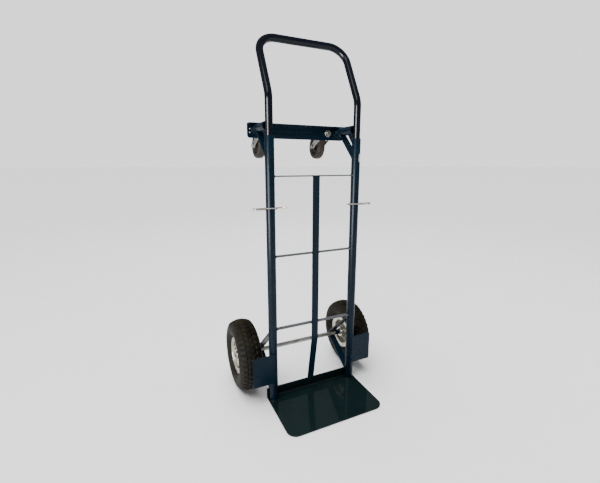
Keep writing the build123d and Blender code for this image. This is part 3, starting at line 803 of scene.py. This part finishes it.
@dataclass
class WeldedFrame:
    """Welds and the label of the welded steel frame."""

    finishes: Finishes
    bead: float = 2.1 * MM
    ripple: float = 2.3 * MM
    label_width: float = 20 * MM
    label_low: float = 838 * MM
    label_high: float = 864 * MM
    label_start: float = math.radians(-80)
    label_corner: float = 2.5 * MM
    paper: float = 0.2 * MM
    rungs: tuple[str, ...] = ("rung_top", "rung_middle", "rung_bottom")

    def __post_init__(self) -> None:
        """Read the frame's places from its nodes."""
        low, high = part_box("rail_right")
        self.rail = (low + high) / 2
        self.radius = (high.x - low.x) / 2
        self.socket_low, self.socket_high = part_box("socket_right")

    def build(self) -> None:
        """Make every weld and the label."""
        for side in Side:
            self._weld(f"rail_welds_{side.label}", self._rail_lines(side))
            self._weld(f"bracket_welds_{side.label}", self._bracket_lines(side))
            self._weld(f"socket_welds_{side.label}", self._socket_lines(side))
        self._weld("strap_welds", self._strap_lines())
        self._label()

    def _weld(self, name: str, lines: Iterable[Sequence[Vector]]) -> None:
        """Lay rippled beads along lines.

        Args:
            name: Name of the piece that holds them all.
            lines: Middle lines of the beads.
        """
        points: list[Vector] = []
        faces: list[tuple[int, ...]] = []
        for number, line in enumerate(lines):
            path = self._resample(line)
            phase = 1.7 * number

            def radius(i: int, path: Sequence[Vector] = path, phase: float = phase) -> float:
                """Scalloped, uneven radius of the bead, smaller at its ends.

                Args:
                    i: Number of the point.
                    path: The bead's middle line.
                    phase: Start of its scallops.

                Returns:
                    The radius.
                """
                scallop = abs(math.sin(math.pi * i / 5 + phase))
                uneven = noise.noise(path[i] * 220.0)
                ends = min(1.0, 0.65 + 0.12 * min(i, len(path) - 1 - i))
                return self.bead * ends * (0.8 + 0.22 * scallop + 0.22 * uneven)

            new_points, new_faces = bar_mesh(path, radius, 10)
            start = len(points)
            points += new_points
            faces += [tuple(start + v for v in face) for face in new_faces]
        piece = link_mesh(name, points, faces)
        self.finishes.wear(piece, "frame_enamel")
        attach(piece, "frame")
        log.info("%s: %d faces", name, len(faces))

    def _resample(self, line: Sequence[Vector]) -> list[Vector]:
        """Points along a line, a fifth of a ripple apart.

        Args:
            line: The line.

        Returns:
            The points.
        """
        out = [line[0].copy()]
        step = self.ripple / 5
        for a, b in zip(line, line[1:]):
            count = max(1, round((b - a).length / step))
            out += [a.lerp(b, (i + 1) / count) for i in range(count)]
        return out

    def _round_rail(self, side: Side, z: float, first: float, last: float,
                    steps: int = 14) -> list[Vector]:
        """Line on a rail's skin at a height, between two angles in degrees from outside to the back.

        Args:
            side: Which rail.
            z: The height.
            first: First angle.
            last: Last angle.
            steps: Number of stretches.

        Returns:
            The line's points.
        """
        x = side.value * self.rail.x
        angles = [math.radians(first + (last - first) * i / steps) for i in range(steps + 1)]
        return [Vector((x + side.value * self.radius * math.cos(a), self.radius * math.sin(a), z))
                for a in angles]

    def _rail_lines(self, side: Side) -> list[list[Vector]]:
        """Beads on one rail: foot, rungs and guard plate.

        Args:
            side: Which rail.

        Returns:
            One line of points for each bead.
        """
        toe_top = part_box("rail_right")[0].z
        lines = [self._round_rail(side, toe_top, -168, -12)]
        for rung in self.rungs:
            low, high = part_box(rung)
            reach = math.degrees(math.asin(high.y / self.radius))
            lines += [self._round_rail(side, z, 180 - reach, 180 + reach) for z in (low.z, high.z)]
        low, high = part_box("guard_plate_right")
        stitch = (high.z - low.z) * 0.24
        x = side.value * (self.rail.x + self.radius * 0.75)
        y = high.y + self.bead * 0.8
        edge = side.value * (self.rail.x - 0.4 * self.bead)
        edge_y = high.y + 0.4 * self.bead
        for z in (low.z + stitch * 0.5, high.z - stitch * 1.5):
            for at_x, at_y in ((edge, edge_y), (x, y)):
                lines.append([Vector((at_x, at_y, z)), Vector((at_x, at_y, z + stitch))])
        return lines

    def _bracket_lines(self, side: Side) -> list[list[Vector]]:
        """Beads where an axle bracket meets the rail.

        Args:
            side: Which bracket.

        Returns:
            One line of points for each bead.
        """
        low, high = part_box("axle_bracket_right")
        inset = 7 * MM
        return [self._round_rail(side, z, 90 - 52, 90 + 52)
                for z in (high.z - inset * 1.6, high.z - inset * 2.9, low.z + inset * 0.6)]

    def _socket_lines(self, side: Side) -> list[list[Vector]]:
        """Beads of a socket: to the bar, the gusset, the brace and the rail's end.

        Args:
            side: Which socket.

        Returns:
            One line of points for each bead.
        """
        x = side.value * self.rail.x
        centre_z = (self.socket_low.z + self.socket_high.z) / 2
        bar_front = self.socket_high.y

        def ring(y: float, first: float, last: float) -> list[Vector]:
            """Line round the tube at one place along it.

            Args:
                y: The place.
                first: First angle in degrees.
                last: Last angle.

            Returns:
                The line's points.
            """
            steps = 24
            angles = [math.radians(first + (last - first) * i / steps) for i in range(steps + 1)]
            return [Vector((x + self.radius * math.cos(a), y, centre_z + self.radius * math.sin(a)))
                    for a in angles]

        gusset_low, gusset_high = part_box("gusset_right")
        brace_low, brace_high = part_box("brace_strap_right")
        lines = [ring(bar_front - 0.4 * self.bead, -205, 25)]
        for offset in (gusset_low.x - self.rail.x, gusset_high.x - self.rail.x):
            under = math.sqrt(self.radius ** 2 - offset ** 2)
            lines.append([Vector((x + offset * 1.3, gusset_high.y * 0.4, centre_z - under)),
                          Vector((x + offset * 1.3, gusset_high.y * 0.97, centre_z - under))])
            lines.append([Vector((x + offset * 1.3, under, gusset_low.z + 5 * MM)),
                          Vector((x + offset * 1.3, under, self.socket_low.z - 20 * MM))])
        lines.append(self._round_rail(side, brace_low.z + 3 * MM, 90 - 50, 90 + 50))
        reach = (brace_high.x - brace_low.x) / 2 * 0.8
        steps = 12
        offsets = [reach * (2 * i / steps - 1) for i in range(steps + 1)]
        lines.append([Vector((x + o, brace_high.y - 1 * MM,
                              centre_z - math.sqrt(self.radius ** 2 - o * o))) for o in offsets])
        return lines

    def _strap_lines(self) -> list[list[Vector]]:
        """Beads of the long strap: to the rungs and to the upstand.

        Returns:
            One line of points for each bead.
        """
        low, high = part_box("centre_strap")
        lines = []
        for rung in self.rungs:
            rung_low, rung_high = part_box(rung)
            for x in (low.x, high.x):
                lines.append([Vector((x, rung_low.y, rung_low.z)),
                              Vector((x, rung_low.y, rung_high.z))])
            lines.append([Vector((low.x + 3 * MM, rung_low.y, rung_low.z - 0.3 * MM)),
                          Vector((high.x - 3 * MM, rung_low.y, rung_low.z - 0.3 * MM))])
        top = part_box("toe_plate")[1]
        for x in (low.x, high.x):
            lines.append([Vector((x, top.y, low.z + 3 * MM)), Vector((x, top.y, top.z - 2 * MM))])
        return lines

    def _label(self) -> None:
        """Blank label round the outer side of the right rail."""
        sides, rows = 16, 10
        skin = self.radius + 0.25 * MM
        turn = self.label_width / self.radius
        corner = self.label_corner
        points = []
        height = self.label_high - self.label_low
        for i in range(sides + 1):
            for j in range(rows + 1):
                u, v = i / sides * self.label_width, j / rows * height
                du = max(0.0, corner - min(u, self.label_width - u))
                inset = corner - math.sqrt(max(0.0, corner ** 2 - du ** 2)) if du else 0.0
                v = min(max(v, inset), height - inset)
                angle = self.label_start + turn * i / sides
                points.append((self.rail.x + skin * math.cos(angle), skin * math.sin(angle),
                               self.label_low + v))
        count = rows + 1
        faces = [(i * count + j, (i + 1) * count + j, (i + 1) * count + j + 1, i * count + j + 1)
                 for i in range(sides) for j in range(rows)]
        piece = link_mesh("rail_label", points, faces)
        thick = piece.modifiers.new("paper", "SOLIDIFY")
        thick.thickness = self.paper
        thick.offset = -1
        piece.data.materials.append(self.finishes.label)
        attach(piece, "frame")
        log.info("rail_label: %d faces", len(faces))


# ---- road wheels ----

@dataclass
class RoadWheel:
    """One pneumatic wheel: knobbly tyre, rolled rim lips and valve."""

    side: Side
    finishes: Finishes
    pitches: int = 40
    steps_per_pitch: int = 16
    groove: float = 3.4 * MM
    lip_wire: float = 2.0 * MM
    wall: float = 8 * MM
    bead_seat: float = 14 * MM
    shoulder_share: float = 0.8
    shoulder_drop: float = 9 * MM
    lug_fade: float = 22 * MM
    block_end: float = 0.5
    lug_end: float = 1.62
    inside: float = 9.0
    valve_bore: float = 0.3 * MM
    thread_root: float = 2.4 * MM
    thread_crest: float = 3.0 * MM
    cap_radius: float = 3.8 * MM
    cap_length: float = 7 * MM

    def __post_init__(self) -> None:
        """Read the wheel's sizes from its nodes."""
        low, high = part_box(f"tyre_{self.side.label}")
        self.centre = (low + high) / 2
        self.radius = (high.z - low.z) / 2
        self.half_width = (high.x - low.x) / 2
        rim_low, rim_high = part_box(f"rim_outer_{self.side.label}")
        self.flange = (rim_high.z - rim_low.z) / 2
        self.flange_x = max(abs(rim_low.x - self.centre.x), abs(rim_high.x - self.centre.x))
        self.body = f"wheel_{self.side.label}"

    def build(self) -> None:
        """Make the wheel's pieces."""
        self._tyre()
        self._lips()
        self._valve()

    def _outline(self) -> tuple[list[Pair], list[float]]:
        """The tyre's closed outline, and for each point how far out across the tread it is.

        Returns:
            The outline, and the place across the tread: 0 at the crown, 1 at the shoulder, 9 inside.
        """
        lip = (self.flange_x - 2.8 * MM, self.flange + 0.5 * MM)
        middle_r = (self.radius + self.flange) / 2 - 2 * MM
        bulge = (self.half_width, middle_r)
        shoulder = (self.shoulder_share * self.half_width, self.radius - self.shoulder_drop)
        crown = (0.0, self.radius)

        def flip(point: Pair) -> Pair:
            """The same point on the other side of the wheel."""
            return (-point[0], point[1])

        right_side = arc_through(lip, bulge, shoulder, 22)
        across = arc_through(shoulder, crown, flip(shoulder), 56)
        left_side = [flip(p) for p in reversed(arc_through(lip, bulge, shoulder, 22))]
        shell = [*right_side, *across, flip(shoulder), *left_side]
        places = []
        for along, radius in shell:
            if radius >= shoulder[1]:
                places.append(abs(along) / shoulder[0])
            else:
                places.append(1.0 + (shoulder[1] - radius) / self.lug_fade)
        seat = self.flange - self.bead_seat
        toe_x = lip[0] - 7 * MM
        inner = [(-lip[0], seat), (-toe_x, seat), (-toe_x, self.flange),
                 (self.wall - self.half_width, middle_r),
                 (-0.6 * self.half_width, self.radius - 13 * MM), (0.0, self.radius - 11 * MM),
                 (0.6 * self.half_width, self.radius - 13 * MM),
                 (self.half_width - self.wall, middle_r),
                 (toe_x, self.flange), (toe_x, seat), (lip[0], seat)]
        return [*shell, *inner], [*places, *[self.inside] * len(inner)]

    def _tread(self, place: float, along: float, angle: float) -> float:
        """Height of the tread, from the groove's floor below the outline up to it.

        Args:
            place: How far across the tread, 1 at the shoulder.
            along: Place along the axle, for the side of the crown.
            angle: Angle round the axle.

        Returns:
            A height from minus the groove's depth to 0.
        """
        turn = angle * self.pitches / (2 * math.pi)
        hand = 1.0 if along >= 0 else -1.0
        if place >= self.inside:
            return 0.0
        if place < self.block_end:
            cut = max(self._notch((turn + hand * 0.25 + 0.9 * place) % 1.0, 0.2),
                      self._line(place, 0.0, 0.045), self._line(place, self.block_end, 0.05))
            return -self.groove * cut
        if place <= self.lug_end:
            fade = 1.0 if place < 1.2 else max(0.0, (self.lug_end - place) / 0.42)
            lug = self._notch((turn + 0.5 + hand * 0.25 + 0.25 * place) % 1.0, 0.24)
            cut = max(lug * fade, self._line(place, self.block_end, 0.05))
            return -self.groove * cut
        ridges = (1.85, 2.35)
        return 0.7 * MM * (max(self._line(place, ridge, 0.05) for ridge in ridges) - 1.0)

    @staticmethod
    def _notch(phase: float, width: float) -> float:
        """1 in a notch about phase 0, 0 elsewhere, with short slopes."""
        distance = min(phase, 1.0 - phase)
        return min(1.0, max(0.0, (width / 2 + 0.05 - distance) / 0.07))

    @staticmethod
    def _line(place: float, at: float, width: float) -> float:
        """1 on a line at a place across the tread, 0 away from it."""
        return min(1.0, max(0.0, (1.5 * width - abs(place - at)) / (0.8 * width)))

    def _tyre(self) -> None:
        """Knobbly tyre that stands for the plain one."""
        outline, places = self._outline()

        def relief(number: int, angle: float) -> float:
            """Height of the tread at a point of the profile."""
            return self._tread(places[number], outline[number][0], angle)

        tyre = lathe(f"knobbly_tyre_{self.side.label}", outline, self.centre,
                     self.pitches * self.steps_per_pitch, self.side.value, relief)
        tyre.data.set_sharp_from_angle(angle=math.radians(50))
        self._place(tyre, "tyre_rubber")
        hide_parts(f"tyre_{self.side.label}")

    def _lips(self) -> None:
        """Rolled edges of both rim halves."""
        for label, hand in (("outer", 1), ("inner", -1)):
            x = hand * (self.flange_x - 0.4 * MM)
            turns = [2 * math.pi * i / 12 for i in range(12)]
            profile = [(x + self.lip_wire * math.cos(a),
                        self.flange - 0.6 * MM + self.lip_wire * math.sin(a)) for a in turns]
            lip = lathe(f"rim_lip_{label}_{self.side.label}", profile, self.centre, 128,
                        self.side.value)
            self._place(lip, "rim_zinc")

    def _valve(self) -> None:
        """Valve with a rubber root, a threaded stem and a ribbed cap."""
        low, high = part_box(f"valve_stem_{self.side.label}")
        middle = (low + high) / 2
        length = high.x - low.x
        root = ((0.0, self.valve_bore), (0.0, 4.5 * MM), (3.5 * MM, 4.3 * MM), (5 * MM, 2.8 * MM))
        profile: list[Pair] = [*root]
        threads = 8
        start, end = 5.2 * MM, length - self.cap_length
        pitch = (end - start) / threads
        for i in range(threads):
            x = start + pitch * i
            profile += [(x, self.thread_root), (x + pitch / 2, self.thread_crest)]
        cap = ((end, self.thread_root), (end, self.cap_radius), (length - 1.2 * MM, self.cap_radius),
               (length, 2.8 * MM), (length, self.valve_bore))
        profile += cap

        def ribs(number: int, angle: float) -> float:
            """Fine ribs round the cap."""
            return 0.15 * MM * math.cos(12 * angle) if number >= len(profile) - len(cap) else 0.0

        origin = Vector((low.x if self.side is Side.RIGHT else high.x, middle.y, middle.z))
        valve = lathe(f"valve_{self.side.label}", profile, origin, 48, self.side.value, ribs)
        self._place(valve, "valve_rubber")
        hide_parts(f"valve_stem_{self.side.label}")

    def _place(self, piece: bpy.types.Object, slot: str) -> None:
        """Dress a piece and let it turn with the wheel.

        Args:
            piece: The piece.
            slot: Name of its finish.
        """
        self.finishes.wear(piece, slot)
        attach(piece, self.body)
        log.info("%s: %d faces", piece.name, len(piece.data.polygons))


# ---- casters ----

@dataclass
class Caster:
    """One swivel caster's moulded wheel."""

    side: Side
    finishes: Finishes
    crown: float = 1.6 * MM
    shoulder: float = 5 * MM

    def build(self) -> None:
        """Make the crowned tread with its moulding line."""
        low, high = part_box(f"caster_tread_{self.side.label}")
        centre = (low + high) / 2
        half = (high.x - low.x) / 2
        radius = (high.z - low.z) / 2
        core_low, core_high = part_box(f"caster_core_{self.side.label}")
        bore = (core_high.z - core_low.z) / 2
        steps = 24
        outline: list[Pair] = [(half - 1 * MM, bore + 0.05 * MM), (half, bore + 1 * MM)]
        for i in range(steps + 1):
            x = half * math.cos(math.pi * i / steps)
            share = abs(x) / half
            outline.append((x, radius - self.crown * share ** 2 - self.shoulder * share ** 8))
        outline += [(-half, bore + 1 * MM), (1 * MM - half, bore + 0.05 * MM)]
        middle = 2 + steps // 2

        def relief(number: int, angle: float) -> float:
            """A mould line round the middle and a fine unevenness.

            Args:
                number: Number of the profile point.
                angle: Angle round the axle.

            Returns:
                The added height.
            """
            line = -0.25 * MM if number == middle else 0.0
            place = Vector((math.cos(angle), math.sin(angle), number * 0.2))
            return line + 0.1 * MM * noise.noise(place * 6)

        tread = lathe(f"caster_tyre_{self.side.label}", outline, centre, 96, 1, relief)
        self.finishes.wear(tread, "caster_rubber")
        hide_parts(f"caster_tread_{self.side.label}")
        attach(tread, f"caster_wheel_{self.side.label}")
        log.info("%s: %d faces", tread.name, len(tread.data.polygons))


# ---- hairpins ----

@dataclass
class LockPin:
    """One sprung hairpin: a leg through the rail, a coil and a waved leg in front."""

    side: Side
    finishes: Finishes
    wire_radius: float = 2.1 * MM
    coil_radius: float = 8.5 * MM
    coil_turns: float = 1.5
    coil_rise: float = 5.4 * MM
    leg_start: float = -23 * MM

    def build(self) -> None:
        """Make the hairpin that stands for the plain one."""
        node = f"hairpin_{self.side.label}"
        low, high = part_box(node)
        z = (low.z + high.z) / 2
        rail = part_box(f"rail_{self.side.label}")
        rail_x = (rail[0].x + rail[1].x) / 2
        reach = max(abs(low.x), abs(high.x)) - abs(rail_x) - self.wire_radius - self.coil_radius
        start = self.leg_start
        path: list[Point] = [(x, 0.0, z) for x in (start, start / 2, 0.4 * reach, 0.8 * reach)]
        steps = 16
        for i in range(steps + 1):
            angle = math.pi / 2 - 2 * math.pi * self.coil_turns * i / steps
            path.append((reach + self.coil_radius * math.cos(angle),
                         self.coil_radius * (math.sin(angle) - 1), z + self.coil_rise * i / steps))
        lift = z + self.coil_rise
        path += [(34 * MM, -15.5 * MM, lift), (22 * MM, -15.5 * MM, lift), (10 * MM, -19.0 * MM, lift),
                 (0.0, -19.6 * MM, lift), (-10 * MM, -19.0 * MM, lift), (-22 * MM, -15.8 * MM, lift),
                 (-33 * MM, -16.5 * MM, lift), (-45 * MM, -24 * MM, lift)]
        line = smooth_path([(rail_x + self.side.value * x, y, h) for x, y, h in path], 5)
        pin = wire(f"sprung_pin_{self.side.label}", line, self.wire_radius, 14)
        self.finishes.wear(pin, "hardware_zinc")
        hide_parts(node)
        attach(pin, node)
        log.info("%s: %d faces", pin.name, len(pin.data.polygons))


# ---- studio ----

@dataclass
class Studio:
    """Camera, floor, lights and surroundings."""

    eye: Point = (-0.530, -1.029, 0.826)
    yaw: float = math.radians(24.80)
    pitch: float = math.radians(-12.47)
    lens: float = 20.6
    sensor: float = 36.0
    floor_size: float = 400.0
    floor_gap: float = 0.2 * MM
    sky_power: float = 5.2
    sky_spread: float = math.radians(60)
    room_glow: float = 0.3
    backdrop_glow: float = 1.55

    def make_camera(self) -> None:
        """Camera at the usual three-quarter front view, upright edges nearly upright."""
        data = bpy.data.cameras.new("view_camera")
        data.lens = self.lens
        data.sensor_width = self.sensor
        data.clip_start = 0.01
        camera = bpy.data.objects.new("view_camera", data)
        bpy.context.scene.collection.objects.link(camera)
        level = math.cos(self.pitch)
        ahead = Vector((math.sin(self.yaw) * level, math.cos(self.yaw) * level, math.sin(self.pitch)))
        camera.location = self.eye
        camera.rotation_mode = "QUATERNION"
        camera.rotation_quaternion = ahead.to_track_quat("-Z", "Y")
        bpy.context.scene.camera = camera

    def make_floor(self) -> None:
        """Pale matte floor a hair below the truck."""
        half = self.floor_size / 2
        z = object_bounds()[0].z - self.floor_gap
        corners = [(-half, -half, z), (half, -half, z), (half, half, z), (-half, half, z)]
        floor = link_mesh("studio_floor", corners, [(0, 1, 2, 3)], smooth=False)
        material, graph, shader = new_material("floor_paint")
        cloud = graph.add("TexNoise", {"Vector": graph.add("TexCoord").outputs["Object"], "Scale": 3.0,
                                       "Detail": 4.0})
        color = graph.mix(cloud.outputs["Fac"], (0.86, 0.86, 0.86, 1), (0.83, 0.83, 0.83, 1))
        join(graph, shader, Base_Color=color)
        shader.inputs["Roughness"].default_value = 0.7
        floor.data.materials.append(material)
        floor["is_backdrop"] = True

    def light(self) -> None:
        """Large soft lights and even surroundings."""
        self._panel("key_panel", (-1.4, -1.2, 3.0), (0.0, 0.0, 0.5), (1.4, 1.2), 34.0)
        streak = self._panel("streak_panel", (-2.4, -1.25, 0.95), (0.0, 0.0, 0.95), (1.6, 1.5), 273.0,
                             Seen.SHINE)
        self._shade(streak, frame["nodes"]["toe_plate"])
        self._panel("fill_panel", (2.6, -1.2, 2.2), (0.0, 0.0, 0.6), (1.2, 1.2), 14.0, Seen.GLOW)
        self._panel("back_panel", (0.8, 2.6, 3.2), (0.0, 0.0, 0.6), (1.6, 1.2), 26.0, Seen.GLOW)
        data = bpy.data.lights.new("wide_sky", "SUN")
        data.energy = self.sky_power
        data.angle = self.sky_spread
        sky = bpy.data.objects.new("wide_sky", data)
        bpy.context.scene.collection.objects.link(sky)
        sky.rotation_euler = (math.radians(-8), math.radians(-12), 0.0)
        Seen.GLOW.apply(sky)
        world = bpy.data.worlds.new("surroundings")
        bpy.context.scene.world = world
        world.use_nodes = True
        world.node_tree.nodes.clear()
        graph = Graph(world.node_tree)
        seen = graph.add("LightPath").outputs["Is Camera Ray"]
        soft = graph.add("Background", {"Color": (0.92, 0.95, 1.0, 1), "Strength": self.room_glow})
        plain = graph.add("Background", {"Color": (1.0, 1.0, 1.0, 1), "Strength": self.backdrop_glow})
        both = graph.add("MixShader", {0: seen, 1: soft.outputs[0], 2: plain.outputs[0]})
        graph.add("OutputWorld", {"Surface": both.outputs[0]})

    @staticmethod
    def _panel(name: str, place: Point, target: Point, size: Pair, power: float,
               seen: Seen = Seen.BOTH) -> bpy.types.Object:
        """Rectangular soft light.

        Args:
            name: Name of the light.
            place: Where it stands.
            target: What it points at.
            size: Width and height.
            power: In watts.
            seen: Where it shows.

        Returns:
            The light's object.
        """
        data = bpy.data.lights.new(name, "AREA")
        data.shape = "RECTANGLE"
        data.size, data.size_y = size
        data.energy = power
        panel = bpy.data.objects.new(name, data)
        bpy.context.scene.collection.objects.link(panel)
        panel.location = place
        panel.rotation_mode = "QUATERNION"
        panel.rotation_quaternion = (Vector(target) - Vector(place)).to_track_quat("-Z", "Y")
        seen.apply(panel)
        return panel

    @staticmethod
    def _shade(light: bpy.types.Object, part: bpy.types.Object) -> None:
        """Keep a light off one part, which would mirror it whole.

        Args:
            light: The light's object.
            part: The part that it leaves out.
        """
        lit = bpy.data.collections.new(light.name + "_lit")
        lit.objects.link(part)
        lit.collection_objects[0].light_linking.link_state = "EXCLUDE"
        light.light_linking.receiver_collection = lit


def dress_nodes(finishes: Finishes) -> None:
    """Give every CAD node its finish and softened edges.

    Args:
        finishes: The finishes by slot.
    """
    edges = Edges()
    for part in frame["record"]["subparts"]:
        node = frame["nodes"][part["node"]]
        slot = part["material_slot"]
        finishes.wear(node, slot)
        # The rungs get the greyer copy of the frame enamel, whose tone is a painted reflection rather
        # than their own colour.
        if node.name.startswith("rung"):
            node.data.materials[0] = finishes.rung
        edges.soften(node, edges.width_for(slot, node.name))


def main() -> None:
    """Build the looks in order."""
    logging.basicConfig(level=logging.INFO, format="%(name)s: %(message)s")
    studio = Studio()
    studio.make_camera()
    finishes = Finishes(Effects())
    dress_nodes(finishes)
    WeldedFrame(finishes).build()
    for side in Side:
        RoadWheel(side, finishes).build()
        Caster(side, finishes).build()
        LockPin(side, finishes).build()
    studio.make_floor()
    studio.light()


if __name__ == "__main__":
    main()
